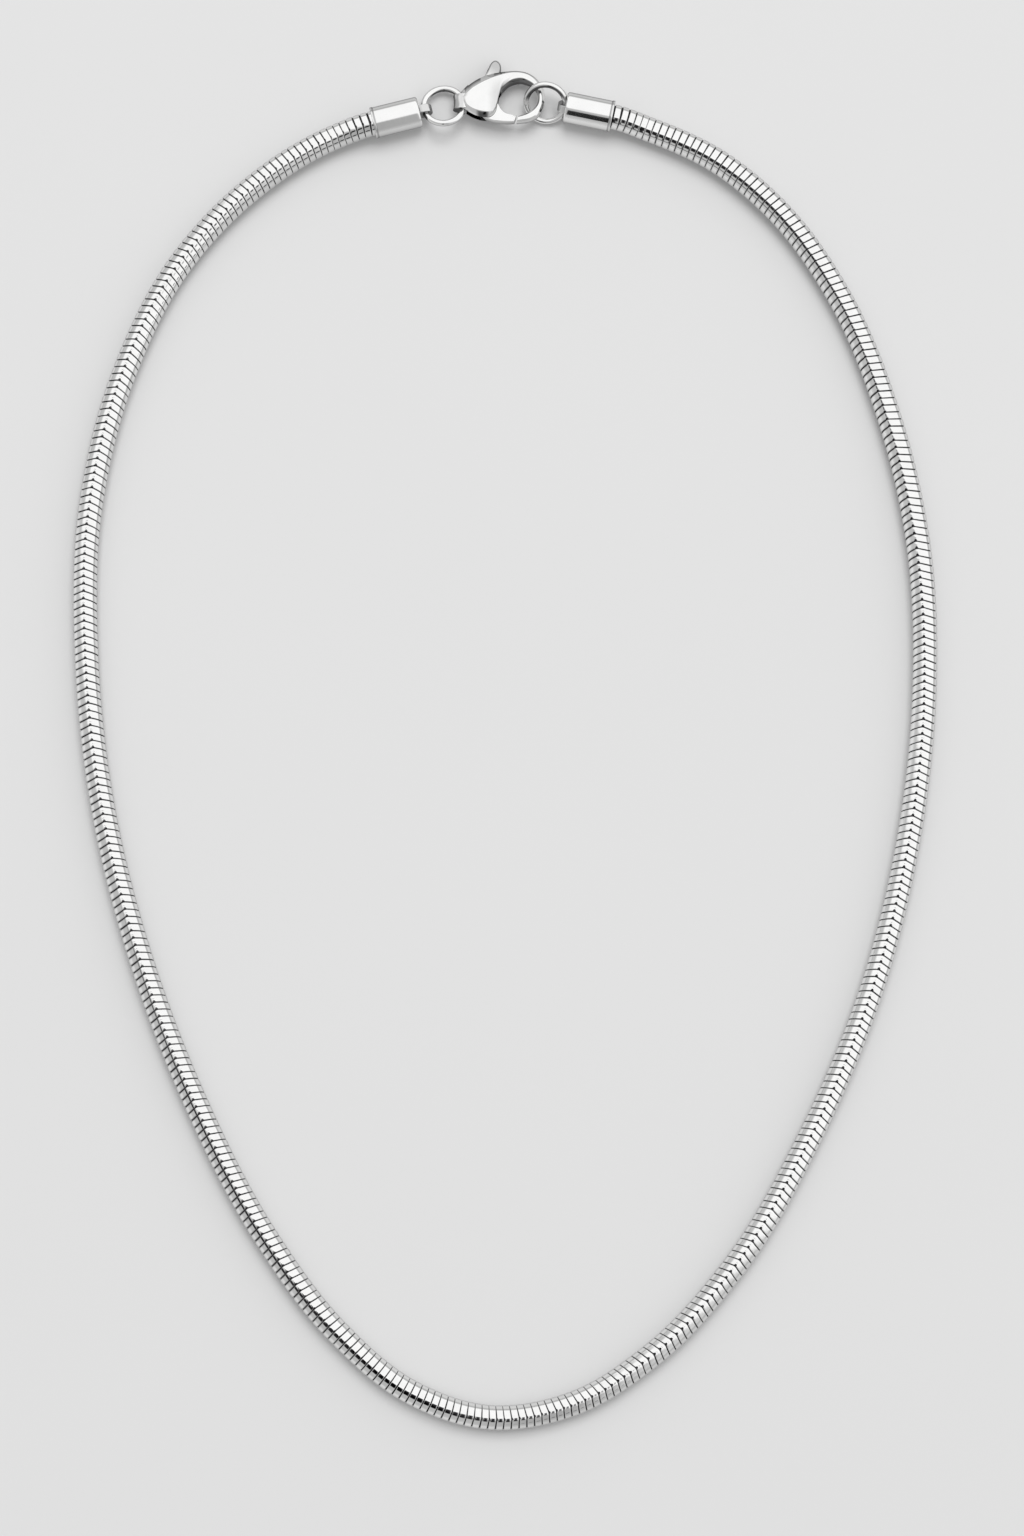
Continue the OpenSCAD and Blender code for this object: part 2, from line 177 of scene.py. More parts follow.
# Outline of the lever from the top of the gate's tip round to its bottom, from the pin
LEVER_OUTLINE = np.array([
    [0.285, -0.050], [0.210, -0.028], [0.160, 0.022], [0.142, 0.058], [0.112, 0.105],
    [0.110, 0.200], [0.128, 0.320], [0.146, 0.395], [0.163, 0.445], [0.165, 0.485],
    [0.149, 0.530], [0.106, 0.558], [0.062, 0.535], [0.030, 0.475], [-0.004, 0.396],
    [-0.020, 0.310], [-0.040, 0.150], [-0.068, 0.040], [-0.070, -0.020], [-0.045, -0.060],
    [0.015, -0.095], [0.085, -0.119], [0.165, -0.129], [0.250, -0.133],
])
LEVER_STEPS = 5
LEVER_TIP_CUTS = 6
LEVER_EDGE_CUTS = 4
# Slot for the lever between the clasp's cheeks
SLOT_OUTLINE = np.array([
    [0.125, -0.300], [0.142, -0.115], [0.200, 0.010], [0.168, 0.185], [0.150, 0.450],
    [0.530, 0.450], [0.528, 0.270], [0.500, 0.150], [0.560, 0.075], [0.640, 0.060],
    [0.640, -0.300],
])

# Points round the turned pieces and along their arcs
CAP_CUTS = 128
TAIL_CUTS = 96
EYE_CUTS = 64
PIN_CUTS = 48
RING_CUTS = 160
WIRE_CUTS = 40
ARC_CUTS = 12
ROUND_CUTS = 10
BEVEL_CUTS = 5

# Angles over which edges are sharp
SHARP = 30
LINK_SHARP = 28
CAP_SHARP = 32
CLASP_SHARP = 26

# How dark the painted shade and painted dark reflections make the metal, from 0 to 1: at the
# cap's lip, its eye, the claw's wall in its far half and elsewhere, the clasp's slot, its far bevel,
# its lobe's roll-off and low edge, its tail, the lever's tab and its rim, and the rings' sides and far
# halves
LIP_DARK = 0.5
EYE_DARK = 0.7
WALL_DARK = 0.80
WALL_SIDE_DARK = 0.35
SLOT_DARK = 0.95
BEVEL_DARK = 0.16
ROLL_DARK = 0.20
LOBE_DARK = 0.9
TAIL_DARK = 0.22
TAB_DARK = 0.42
RIM_DARK = 0.82
SIDE_DARK = 0.35
RING_DARK = 0.90
# Where the painted shade starts and where it is full: by how squarely a face looks that way
FACING = (0.35, 0.60)
# ... by how much a face looks up or down
EYE_LEVEL = (0.85, 0.50)
RING_LEVEL = (0.60, 0.30)
TAIL_LEVEL = (0.75, 0.40)
# ... by the place along or across the clasp, or across the lever from its pin
WALL_ACROSS = (0.06, 0.14)
ROLL_STARTS = (0.36, 0.47)
ROLL_ENDS = (0.56, 0.50)
ROLL_ACROSS = (0.22, 0.12)
LOBE_STARTS = (0.24, 0.29)
LOBE_ENDS = (0.40, 0.36)
TAIL_ENDS = (0.13, 0.10)
TAB_ACROSS = (0.36, 0.44)
# ... and by the distance past a ring's middle
RING_FAR = (0, 0.8 * MM)
# The claw's middle, how far its wall reaches from there and where along the clasp it starts, where
# the slot and the bevel start, and how much the slot's faces look up or down
CLAW_MIDDLE = np.array([0.70, 0.045])
CLAW_REACH = 0.32
CLAW_STARTS = 0.44
SLOT_STARTS = 0.12
BEVEL_STARTS = 0.10
SLOT_LEVEL = 0.2
# Half the width of the painted shade beside the lip, and the slack for points on a face
LIP_SHADE_HALF_W = 0.07 * MM
SLACK = 0.01 * MM

# Links of the chain, closer together towards the ends
LINK_PITCH = 0.985 * MM
LINK_PITCH_END = 0.915 * MM
PITCH_RUN = 45 * MM
GROOVE_W = 0.15 * MM
LINK_PIECES = 4
# How far the chevron's arms reach along the chain, on the loop's outer and inner side
ARM_OUTER = 0.56 * MM
ARM_INNER = 0.78 * MM
# Notch at the chevron's apex: how far it cuts into the band's hollow side, how far the rest of the
# band moves towards that side, and the turn from the apex at which it ends
NOTCH_POINT = 0.21 * MM
NOTCH_BACK = 0.04 * MM
NOTCH_SPREAD = 7
# How far the links lie out of line, turned in degrees and moved along
LINK_SWAY_TURN = 0.8
LINK_SWAY = 0.008 * MM
SWAY_SEED = 7
# Angles round a link at which it has a column of points, from its apex
LINK_TURNS = [0, 4, 7.5, 14, 22, 33, 45, 60, 76, 92, 112, 145, 180]
# Closed section of a link. Columns: share of the band's width along the chain, and extra length
# there, depth below the link's outside, both in millimetres, and darkness of the painted shade,
# full in the groove between links
LINK_PROFILE = [
    (-0.5, 0.000, 0.030, 0.4), (-0.5, 0.030, 0.006, 0.0), (-0.5, 0.120, 0.001, 0.0),
    (-0.5, 0.250, 0.000, 0.0), (0.0, 0.000, 0.000, 0.0), (0.5, -0.250, 0.000, 0.0),
    (0.5, -0.120, 0.001, 0.0), (0.5, -0.030, 0.006, 0.0), (0.5, 0.000, 0.030, 0.4),
    (0.5, 0.000, 0.140, 1.0), (0.5, 0.340, 0.140, 1.0), (0.5, 0.340, 0.280, 1.0),
    (0.5, -0.200, 0.280, 1.0), (0.5, -0.200, 0.110, 1.0), (-0.5, 0.000, 0.110, 1.0),
]
# Depths in millimetres down to which the notch cuts the band, and down to which dashes show on it
NOTCH_DEPTH = 0.12
FACE_DEPTH = 0.05
# The band of painted dark reflection beside a groove, its width in millimetres, and the turns from the apex
# at which it starts and over which it comes
EDGE_RUN = 0.13
EDGE_TURN = 7
EDGE_TURN_RISE = 3
# How the links lie along the chain. Columns: share of the chain's length, size and side of
# the chevron, place of its apex across the chain from the outer side, painted dark reflection along the
# groove on the outer or, below zero, on the inner arm
LINK_RUN = [
    (0.000, 0.25, 0.44, 0.0), (0.035, 0.35, 0.44, 0.0), (0.085, 0.95, 0.42, 0.0),
    (0.110, 1.00, 0.41, 0.0), (0.170, 1.00, 0.42, 0.1), (0.230, 1.00, 0.46, 0.6),
    (0.345, 1.00, 0.45, 0.8), (0.415, 0.55, 0.44, 0.7), (0.440, 0.20, 0.42, 0.2),
    (0.470, -0.05, 0.40, 0.0), (0.510, -0.50, 0.45, 0.0), (0.535, -0.95, 0.48, 0.0),
    (0.600, -1.00, 0.50, 0.0), (0.650, -1.00, 0.47, 0.0), (0.770, -1.00, 0.485, 0.0),
    (0.830, -1.00, 0.60, -0.8), (0.890, -0.75, 0.60, -0.8), (0.945, -0.30, 0.58, -0.4),
    (1.000, 0.05, 0.58, -0.2),
]
# Dashes of painted dark reflection across the bands. Columns: share of the chain's length, place across it
# from the outer side, length along it and height across it in millimetres, darkness
DASH_RUN = [
    (0.000, 0.57, 0.56, 0.19, 1.0), (0.060, 0.57, 0.52, 0.18, 0.9), (0.095, 0.52, 0.40, 0.14, 0.0),
    (0.280, 0.34, 0.60, 0.16, 0.0), (0.310, 0.34, 0.66, 0.17, 0.7), (0.345, 0.33, 0.80, 0.20, 1.0),
    (0.413, 0.335, 0.80, 0.28, 1.0), (0.470, 0.375, 0.66, 0.58, 1.0), (0.495, 0.39, 0.58, 0.46, 1.0),
    (0.510, 0.42, 0.50, 0.28, 0.9), (0.530, 0.46, 0.45, 0.20, 0.6), (0.545, 0.48, 0.40, 0.14, 0.0),
    (0.840, 0.60, 0.40, 0.14, 0.0), (0.870, 0.60, 0.66, 0.17, 0.8), (0.920, 0.59, 0.76, 0.26, 1.0),
    (0.945, 0.585, 0.74, 0.35, 1.0), (0.980, 0.58, 0.66, 0.40, 1.0), (1.000, 0.58, 0.50, 0.44, 1.0),
]
# A second, thinner row of them. The columns are the same
THIN_DASH_RUN = [
    (0.000, 0.745, 0.56, 0.14, 1.0), (0.080, 0.745, 0.52, 0.12, 0.9), (0.115, 0.745, 0.40, 0.10, 0.0),
    (0.495, 0.22, 0.40, 0.12, 0.0), (0.510, 0.22, 0.50, 0.12, 0.5), (0.530, 0.22, 0.50, 0.12, 0.4),
    (0.550, 0.22, 0.40, 0.12, 0.0), (0.910, 0.73, 0.70, 0.10, 0.0), (0.940, 0.73, 0.76, 0.11, 0.6),
    (1.000, 0.73, 0.76, 0.11, 0.5),
]
# Width of a dash's soft edge, in millimetres
DASH_SOFT = 0.05

# Silver: its tint, the share of it where the metal is clouded, its roughness, and the noise values
# between which the roughness and the tint change
SILVER_TINT = (0.93, 0.93, 0.925)
CLOUDED = 0.965
# Near-black colour of the painted shade and painted dark reflections on the metal
SHADE_PAINT_COLOUR = (0.03, 0.03, 0.032, 1)
SILVER_ROUGH = (0.05, 0.10)
ROUGH_SPAN = (0.35, 0.65)
CLOUD_SPAN = (0.35, 0.6)
# How many times coarser the clouding is than the scratches, and the detail of both
CLOUD_SIZE = 6
CLOUD_DETAIL = 3
SCRATCH_DETAIL = 2
SCRATCH_DEPTH = 0.02 * MM

# Floor of pale paper
FLOOR_SIZE = 20
FLOOR_TONE = 0.58
FLOOR_CLOUDED = 0.985
PAPER_ROUGH = 0.9
PAPER_SHINE = 0.2
PAPER_SCALE = 18
PAPER_DETAIL = 2

# Surroundings, with all levels as shares of the panel's light. The bright side's level by the angle
# off the vertical
PANEL_LIGHT = 1.03
BRIGHT_SIDE = [
    (0, 1.0), (80, 1.0), (87, 0.60), (93, 0.42), (98, 0.45), (106, 0.64), (124, 0.70), (170, 0.62),
]
# The dim side's level by the angle off the vertical, and its share by the angle round from +X
DIM_SIDE = [
    (0, 0.52), (58, 0.53), (68, 0.53), (76, 0.56), (86, 0.66), (98, 0.78), (120, 0.74), (170, 0.62),
]
DIM_ROUND = [
    (170, 1.0), (185, 1.0), (205, 0.95), (228, 0.90), (262, 0.90), (282, 0.74), (320, 0.80),
]
# The dim side's direction, and where it starts and is full, as the cosine of the angle from it
DIM_TURN = 247
DIM_START = (0.13, 0.30)
# A lift of the dim side's upper part, whole up to the first angle off the vertical and gone at the
# second, and its level by the angle round
LIFT_ENDS = (62, 80)
LIFT_ROUND = [(0, 0.0), (284, 0.0), (304, 0.22), (340, 0.22)]
# A grey band on the bright side: its level by the angle off the vertical, and its share by the
# angle round
BAND_SIDE = [(0, 1.0), (48, 1.0), (66, 0.52), (98, 0.54), (112, 0.95)]
BAND_ROUND = [(0, 0.0), (124, 0.0), (136, 1.0), (200, 1.0), (230, 0.0)]
# The dark card's sides, its low and high edges as (y, z), the height at which it starts to fade,
# and its light
CARD_SIDES = (-0.062, -0.022)
CARD_EDGES = [(-0.158, 0.121), (-0.122, 0.44)]
CARD_FADE = 0.36
CARD_LIGHT = 0.02
# The soft light's direction from the loop's middle, its distance, size and power in watts
KEY_TURN = 80
KEY_RISE = 62
KEY_AWAY = 2.2
KEY_SIZE = 1.2
KEY_POWER = 30

# Sizes worked out from the ones above
BORE_R = CHAIN_R + CAP_GAP
CAP_R = BORE_R + CAP_WALL
DISH_MOUTH_R = CAP_R - CAP_RIM
DISH_R = (DISH_MOUTH_R ** 2 + CAP_DISH ** 2) / (2 * CAP_DISH)
WIRE_R = RING_WIRE / 2
RING_R = RING_OD / 2 - WIRE_R
EYE_HOLE_R = (RING_WIRE + EYE_PLAY) / 2
EYE_R = EYE_HOLE_R + EYE_WALL
TAIL_HOLE_R = (RING_WIRE + TAIL_PLAY) / 2
TAIL_R = TAIL_HOLE_R + TAIL_WALL
CAP_Z = CAP_R + CAP_LIP_H
SLOT_T = LEVER_T + 2 * LEVER_GAP
PIN_R = PIN_D / 2
TAB_TOP = LEVER_OUTLINE[:, 1].max() + PIN_AT[1]
LOOP_MID = -(CLASP_UP + TAB_TOP * CLASP_L - CHAIN_R) / 2
CLASP_AT = np.array([-CLASP_LEFT, LOOP_MID + LOOP_L / 2 + CLASP_UP, CLASP_Z])
PIN_PLACE = (*PIN_AT * CLASP_L, 0)


def turned(angle):
    """Direction in the plane at an angle from +X."""
    return np.array([math.cos(math.radians(angle)), math.sin(math.radians(angle)), 0.0])


AIM_LEFT = turned(CAP_RISE_LEFT)
AIM_RIGHT = turned(180 - CAP_RISE_RIGHT)
RING_LEFT_AT = CLASP_AT + [TAIL_R + TAIL_PULL, 0, (CAP_Z - CLASP_Z) / 2] - RING_R * turned(RING_RISE_LEFT)
RING_RIGHT_AT = np.array([CLASP_AT[0] + CLASP_L + RING_PAST_CLAW, CLASP_AT[1], CAP_Z])
MOUTH_LEFT_AT = np.array([*RING_LEFT_AT[:2], CAP_Z]) - (RING_R + EYE_OUT_LEFT + CAP_L) * AIM_LEFT
MOUTH_RIGHT_AT = RING_RIGHT_AT - (RING_R + EYE_OUT_RIGHT + CAP_L) * AIM_RIGHT


# Mesh helpers


def mesh_object(name, points, faces, sharp=SHARP):
    """A mesh object with smooth faces that meet sharply at edges over an angle."""
    mesh = bpy.data.meshes.new(name)
    mesh.from_pydata(np.asarray(points).tolist(), [], [list(f) for f in faces])
    mesh.validate()
    made = bpy.data.objects.new(name, mesh)
    bpy.context.scene.collection.objects.link(made)
    smooth(made, sharp)
    return made


def smooth(made, sharp):
    """Smooth faces that meet sharply at edges over an angle."""
    made.data.shade_smooth()
    made.data.set_sharp_from_angle(angle=math.radians(sharp))


def grid_faces(rows, cols, wrap_rows=False):
    """Four-sided faces over rows of points, each row a closed ring."""
    faces = []
    for j in range(rows if wrap_rows else rows - 1):
        below, above = j * cols, (j + 1) % rows * cols
        for k in range(cols):
            after = (k + 1) % cols
            faces.append((below + k, above + k, above + after, below + after))
    return faces


def loft(name, rings):
    """A closed skin through rings of points, with flat ends."""
    rings = np.asarray(rings)
    rows, cols = rings.shape[:2]
    ends = [list(range(cols)), [(rows - 1) * cols + k for k in reversed(range(cols))]]
    return mesh_object(name, rings.reshape(-1, 3), grid_faces(rows, cols) + ends)


def lathe(name, profile, cuts):
    """A solid turned about the X axis. The profile's rows are (along, radius), ends on the axis."""
    inner = profile[1:-1]
    points = [(profile[0][0], 0, 0)]
    for x, r in inner:
        for k in range(cuts):
            a = 2 * math.pi * k / cuts
            points.append((x, r * math.cos(a), r * math.sin(a)))
    points.append((profile[-1][0], 0, 0))
    last = len(points) - 1
    first_row, last_row = 1, 1 + (len(inner) - 1) * cuts
    faces = [tuple(first_row + i for i in f) for f in grid_faces(len(inner), cuts)]
    for k in range(cuts):
        after = (k + 1) % cuts
        faces.append((0, first_row + k, first_row + after))
        faces.append((last, last_row + after, last_row + k))
    return mesh_object(name, points, faces)


def block(name, low, high):
    """A plain block between two corners."""
    points = [(x, y, z) for x in (low[0], high[0]) for y in (low[1], high[1]) for z in (low[2], high[2])]
    faces = [(0, 1, 3, 2), (4, 6, 7, 5), (0, 4, 5, 1), (2, 3, 7, 6), (0, 2, 6, 4), (1, 5, 7, 3)]
    return mesh_object(name, points, faces)


def arc(centre, radius, start, end, cuts):
    """Points (along, radius) on an arc."""
    turns = np.radians(np.linspace(start, end, cuts + 1))
    return [(centre[0] + radius * math.cos(t), centre[1] + radius * math.sin(t)) for t in turns]


def place(made, at, *turns):
    """Moves the mesh to its place: turns are (degrees, axis), the last one made first."""
    matrix = Matrix.Translation(Vector(at))
    for degrees, axis in turns:
        matrix = matrix @ Matrix.Rotation(math.radians(degrees), 4, axis)
    made.data.transform(matrix)
    return made


def combine(base, other, operation):
    """Joins another closed solid to a solid, or cuts it out, and deletes the other."""
    step = base.modifiers.new("cut", "BOOLEAN")
    step.operation = operation
    step.object = other
    step.solver = "EXACT"
    graph = bpy.context.evaluated_depsgraph_get()
    mesh = bpy.data.meshes.new_from_object(base.evaluated_get(graph))
    base.modifiers.clear()
    base.data = mesh
    bpy.data.objects.remove(other)


def bore(made, radius, half, at, turn, cuts):
    """Cuts a round hole into a solid, half of it to each side of a place."""
    hole = lathe("hole", [(-half, 0), (-half, radius), (half, radius), (half, 0)], cuts)
    place(hole, at, turn)
    combine(made, hole, "DIFFERENCE")


def on_curve(p, q, m, n, t):
    """Point at a share of a smooth curve between two points with slopes."""
    return ((2 * t**3 - 3 * t**2 + 1) * p + (t**3 - 2 * t**2 + t) * m
            + (3 * t**2 - 2 * t**3) * q + (t**3 - t**2) * n)


def smooth_rows(rows, steps):
    """Rows of a table on a smooth curve through all of them."""
    last = len(rows) - 1
    out = []
    for i in range(last):
        m = (rows[i + 1] - rows[max(i - 1, 0)]) / 2
        n = (rows[min(i + 2, last)] - rows[i]) / 2
        out += [on_curve(rows[i], rows[i + 1], m, n, k / steps) for k in range(steps)]
    return np.array(out + [rows[last]])


def unit(v):
    """The vector, or each row of vectors, at length 1."""
    return v / np.linalg.norm(v, axis=-1, keepdims=True)


def inset(outline, depth):
    """The outline moved inwards, point by point."""
    ahead = unit(np.roll(outline, -1, axis=0) - np.roll(outline, 1, axis=0))
    return outline + depth * np.stack([-ahead[:, 1], ahead[:, 0]], axis=1)


def rise(value, low, high):
    """Share of the way from one value to another, smooth at both. The first may be the higher."""
    t = np.clip((value - low) / (high - low), 0, 1)
    return t * t * (3 - 2 * t)


def store_dark(made, dark):
    """Stores how dark the painted shade and painted dark reflections make the metal at each point."""
    painted_shading = made.data.attributes.new("painted_shading", "FLOAT", "POINT")
    painted_shading.data.foreach_set("value", np.asarray(dark).ravel().astype(np.float32))


def darken(made, level):
    """Paints shade and dark reflections on the metal by a function of the points and normals."""
    count = len(made.data.vertices)
    points, normals = np.empty(count * 3), np.empty(count * 3)
    made.data.vertices.foreach_get("co", points)
    made.data.vertices.foreach_get("normal", normals)
    store_dark(made, np.clip(level(points.reshape(-1, 3), normals.reshape(-1, 3)), 0, 1))
    return made


# Chain


def route_line():
    """Points close together along the chain's middle, from inside one cap to inside the other."""
    middle = [np.array([a * LOOP_W / 2, LOOP_MID + b * LOOP_L / 2, CHAIN_R]) for a, b in ROUTE_SHARES]
    route = [MOUTH_LEFT_AT, *middle, MOUTH_RIGHT_AT]
    slopes = [-AIM_LEFT]
    for before, at, after in zip(route, route[1:], route[2:]):
        back = (at - before) * [1, 1, 0]
        ahead = (after - at) * [1, 1, 0]
        a, b = np.linalg.norm(back), np.linalg.norm(ahead)
        slopes.append(unit(back * b / a + ahead * a / b))
    slopes.append(AIM_RIGHT)
    line = [MOUTH_LEFT_AT + CHAIN_SEAT * AIM_LEFT]
    for p, q, m, n in zip(route, route[1:], slopes, slopes[1:]):
        reach = np.linalg.norm(q - p)
        line += [on_curve(p, q, m * reach, n * reach, k / ROUTE_CUTS) for k in range(ROUTE_CUTS)]
    line += [MOUTH_RIGHT_AT, MOUTH_RIGHT_AT + CHAIN_SEAT * AIM_RIGHT]
    return np.array(line)


def link_places(line):
    """Distance along the line at its points and at each link, and the width of each link's band."""
    steps = np.linalg.norm(np.diff(line, axis=0), axis=1)
    run = np.concatenate([[0], np.cumsum(steps)])
    near_end = np.minimum(np.abs(run - CHAIN_SEAT), np.abs(run[-1] - CHAIN_SEAT - run))
    pitch = LINK_PITCH + (LINK_PITCH_END - LINK_PITCH) * np.exp(-near_end / PITCH_RUN)
    # Count of links up to each place, from the pitch there
    count = np.concatenate([[0], np.cumsum(steps / ((pitch[1:] + pitch[:-1]) / 2))])
    places = np.interp(np.arange(int(count[-1])) + 0.5, count, run)
    return run, places, np.interp(places, run, pitch) - GROOVE_W


def link_frames(line, run, places):
    """Each link's middle, and its directions along the chain, to the loop's outside and up."""

    def on_line(distance):
        """Points on the line at distances along it."""
        return np.stack([np.interp(distance, run, column) for column in line.T], axis=-1)

    along = unit(on_line(places + TANGENT_STEP) - on_line(places - TANGENT_STEP))
    side = unit(np.cross(along, [0, 0, 1]))
    return on_line(places), along, side, np.cross(side, along)


def turn_of(place, lean):
    """Turn from the top of a place across the chain, where the chain is seen at a lean."""
    return np.degrees(np.arcsin(1 - 2 * place)) - lean


def spot(distance, size):
    """Share of darkness at a distance from the middle of a soft-edged spot of a size."""
    return np.clip((size / 2 - np.abs(distance)) / DASH_SOFT + 0.5, 0, 1)


def link_shape(width, chevron, apex, edge_dark, dashes, sway):
    """Shape of one link: the angle round the chain of each column of points, and each point's
    place along the chain and darkness of painted shade and painted dark reflection. The dashes'
    rows are the turn from the apex, the length, the height and the darkness."""
    edge, extra, depth, dark = np.array(LINK_PROFILE).T
    outside = depth < FACE_DEPTH
    # Columns at the apex, all round, and at both edges of each dash
    half_turns = np.array(LINK_TURNS, float)
    borders = []
    for middle, _, height, _ in dashes:
        half, soft = np.degrees([height / 2 * MM / CHAIN_R, DASH_SOFT / 2 * MM / CHAIN_R])
        borders += [middle + reach for reach in (-half - soft, -half + soft, half - soft, half + soft)]
    turns = np.sort(np.concatenate([half_turns, -half_turns[-2:0:-1], borders]))
    angle = np.radians(turns + apex + LINK_SWAY_TURN * sway[0])
    # The chevron's wave along the chain, and the notch at its apex
    arms = np.where(turns > 0, ARM_OUTER * np.abs(np.sin(np.radians(turns))),
                    ARM_INNER * np.minimum(np.abs(turns), 180 - np.abs(turns)) / 90)
    wave = chevron * (arms - ARM_OUTER / 2) + LINK_SWAY * sway[1]
    facing = np.sign(edge) == np.sign(chevron)
    notch = np.sqrt(np.clip(1 - (turns / NOTCH_SPREAD) ** 2, 0, 1))
    cut = np.outer(notch, (depth < NOTCH_DEPTH) * np.where(facing, NOTCH_POINT, -NOTCH_BACK))
    from_middle = edge * width + extra * MM
    place_along = from_middle + wave[:, None] - chevron * cut
    # Painted shade in the grooves, and painted dark reflections in the dashes and beside the grooves on one
    # arm
    shade = np.tile(dark, (len(turns), 1))
    for middle, length, height, level in dashes:
        away = np.radians(turns - middle) * CHAIN_R / MM
        spots = np.outer(spot(away, height), spot(from_middle / MM, length) * outside)
        shade = np.maximum(shade, level * spots)
    on_arm = np.clip(np.sign(edge_dark) * turns - EDGE_TURN, 0, EDGE_TURN_RISE) / EDGE_TURN_RISE
    beside = np.clip(1 - (width / 2 - np.abs(from_middle)) / (EDGE_RUN * MM), 0, 1) * outside
    shade = np.maximum(shade, abs(edge_dark) * np.outer(on_arm, beside))
    return angle, place_along, shade


def chain_links():
    """The links as meshes, each piece a run of them along the chain."""
    line = route_line()
    run, places, widths = link_places(line)
    middles, alongs, sides, ups = link_frames(line, run, places)
    share = np.clip((places - CHAIN_SEAT) / (run[-1] - 2 * CHAIN_SEAT), 0, 1)

    def along_run(rows):
        """A table's columns at each link, in straight steps between its rows."""
        table = np.array(rows)
        return np.array([np.interp(share, table[:, 0], column) for column in table.T[1:]])

    # Places across are counted as seen from over the loop's middle, so the outside leans away
    out_from_view = np.sum(sides[:, :2] * (middles[:, :2] - VIEW_MIDDLE), axis=1)
    leans = np.degrees(np.arctan2(out_from_view, VIEW_HEIGHT))
    chevrons, apex_places, edge_darks = along_run(LINK_RUN)
    apexes = turn_of(apex_places, leans)
    dashes = np.stack([along_run(rows).T for rows in (DASH_RUN, THIN_DASH_RUN)], axis=1)
    dashes[:, :, 0] = turn_of(dashes[:, :, 0], leans[:, None]) - apexes[:, None]

    radius = CHAIN_R - np.array(LINK_PROFILE)[:, 2] * MM
    random = np.random.RandomState(SWAY_SEED)
    bounds = np.linspace(0, len(places), LINK_PIECES + 1).astype(int)
    made = []
    for piece, (first, end) in enumerate(zip(bounds, bounds[1:])):
        points, shades = [], []
        for i in range(first, end):
            sway = random.uniform(-1, 1, 2)
            angle, place_along, shade = link_shape(
                widths[i], chevrons[i], apexes[i], edge_darks[i], dashes[i], sway)
            out = np.outer(np.sin(angle), sides[i]) + np.outer(np.cos(angle), ups[i])
            around = radius[:, None] * out[:, None, :]
            points.append(middles[i] + place_along[:, :, None] * alongs[i] + around)
            shades.append(shade)
        # Every link has the same columns and rows of points
        faces = np.array(grid_faces(*shade.shape, wrap_rows=True))[:, ::-1]
        faces = np.concatenate([faces + k * shade.size for k in range(end - first)])
        name = "chain_links_%d" % (piece + 1)
        links = mesh_object(name, np.concatenate(points).reshape(-1, 3), faces.tolist(), LINK_SHARP)
        # Painted shade in the grooves and painted dark reflections on the bands
        store_dark(links, shades)
        made.append(links)
    return made


# Fittings


def cap_shade_paint(at, normal):
    """Painted shade beside an end cap's lip, in its dish and on its eye."""
    radius = np.hypot(at[:, 1], at[:, 2])
    beside_lip = (np.abs(at[:, 0] - CAP_LIP) < LIP_SHADE_HALF_W) & (radius > BORE_R)
    past_end = (at[:, 0] > CAP_L - CAP_DISH - SLACK) & (radius < DISH_MOUTH_R)
    on_eye = EYE_DARK * rise(np.abs(normal[:, 2]), *EYE_LEVEL) * past_end
    return np.max([LIP_DARK * beside_lip, on_eye, TAIL_DARK * past_end], axis=0)


def end_cap(name, eye_out):
    """End cap with its mouth at the origin and its eye towards +X."""
    bevel_in, bevel_out = MOUTH_BEVEL
    profile = [(CAP_L - CAP_END, 0), (CAP_L - CAP_END, BORE_R), (bevel_in, BORE_R), (0, BORE_R + bevel_out)]
    profile += [(along, CAP_R + out) for along, out in LIP_PROFILE]
    profile.append((CAP_L - CAP_ROUND - SIDE_LOOP, CAP_R))
    profile += arc((CAP_L - CAP_ROUND, CAP_R - CAP_ROUND), CAP_ROUND, 90, 0, ROUND_CUTS)
    mouth_turn = math.degrees(math.asin(DISH_MOUTH_R / DISH_R))
    dish = arc((CAP_L - CAP_DISH + DISH_R, 0), DISH_R, 180 - mouth_turn, 180, ARC_CUTS)
    made = lathe(name, profile + dish[:-1] + [(CAP_L - CAP_DISH, 0)], CAP_CUTS)
    eye_x = CAP_L + eye_out
    half_w = EYE_W / 2
    rim = (arc((half_w - EYE_BEVEL, EYE_R - EYE_BEVEL), EYE_BEVEL, 0, 90, BEVEL_CUTS)
           + arc((-half_w + EYE_BEVEL, EYE_R - EYE_BEVEL), EYE_BEVEL, 90, 180, BEVEL_CUTS))
    eye = lathe("eye", [(half_w, 0), *rim, (-half_w, 0)], EYE_CUTS)
    place(eye, (eye_x, 0, 0), (90, "Z"))
    stem_y, stem_z = half_w - STEM_INSET, EYE_R * STEM_SHARE
    stem = block("stem", (CAP_L - CAP_END + CAP_DISH, -stem_y, -stem_z), (eye_x, stem_y, stem_z))
    combine(eye, stem, "UNION")
    combine(made, eye, "UNION")
    bore(made, EYE_HOLE_R, DISH_MOUTH_R, (eye_x, 0, 0), (90, "Z"), EYE_CUTS)
    smooth(made, CAP_SHARP)
    # Painted shade beside the lip, in the dish and on the eye
    return darken(made, cap_shade_paint)


def jump_ring(name):
    """A ring of round wire in the XY plane."""
    points = []
    for j in range(RING_CUTS):
        t = 2 * math.pi * j / RING_CUTS
        for k in range(WIRE_CUTS):
            a = 2 * math.pi * k / WIRE_CUTS
            r = RING_R + WIRE_R * math.cos(a)
            points.append((r * math.cos(t), r * math.sin(t), WIRE_R * math.sin(a)))
    return mesh_object(name, points, grid_faces(RING_CUTS, WIRE_CUTS, wrap_rows=True))


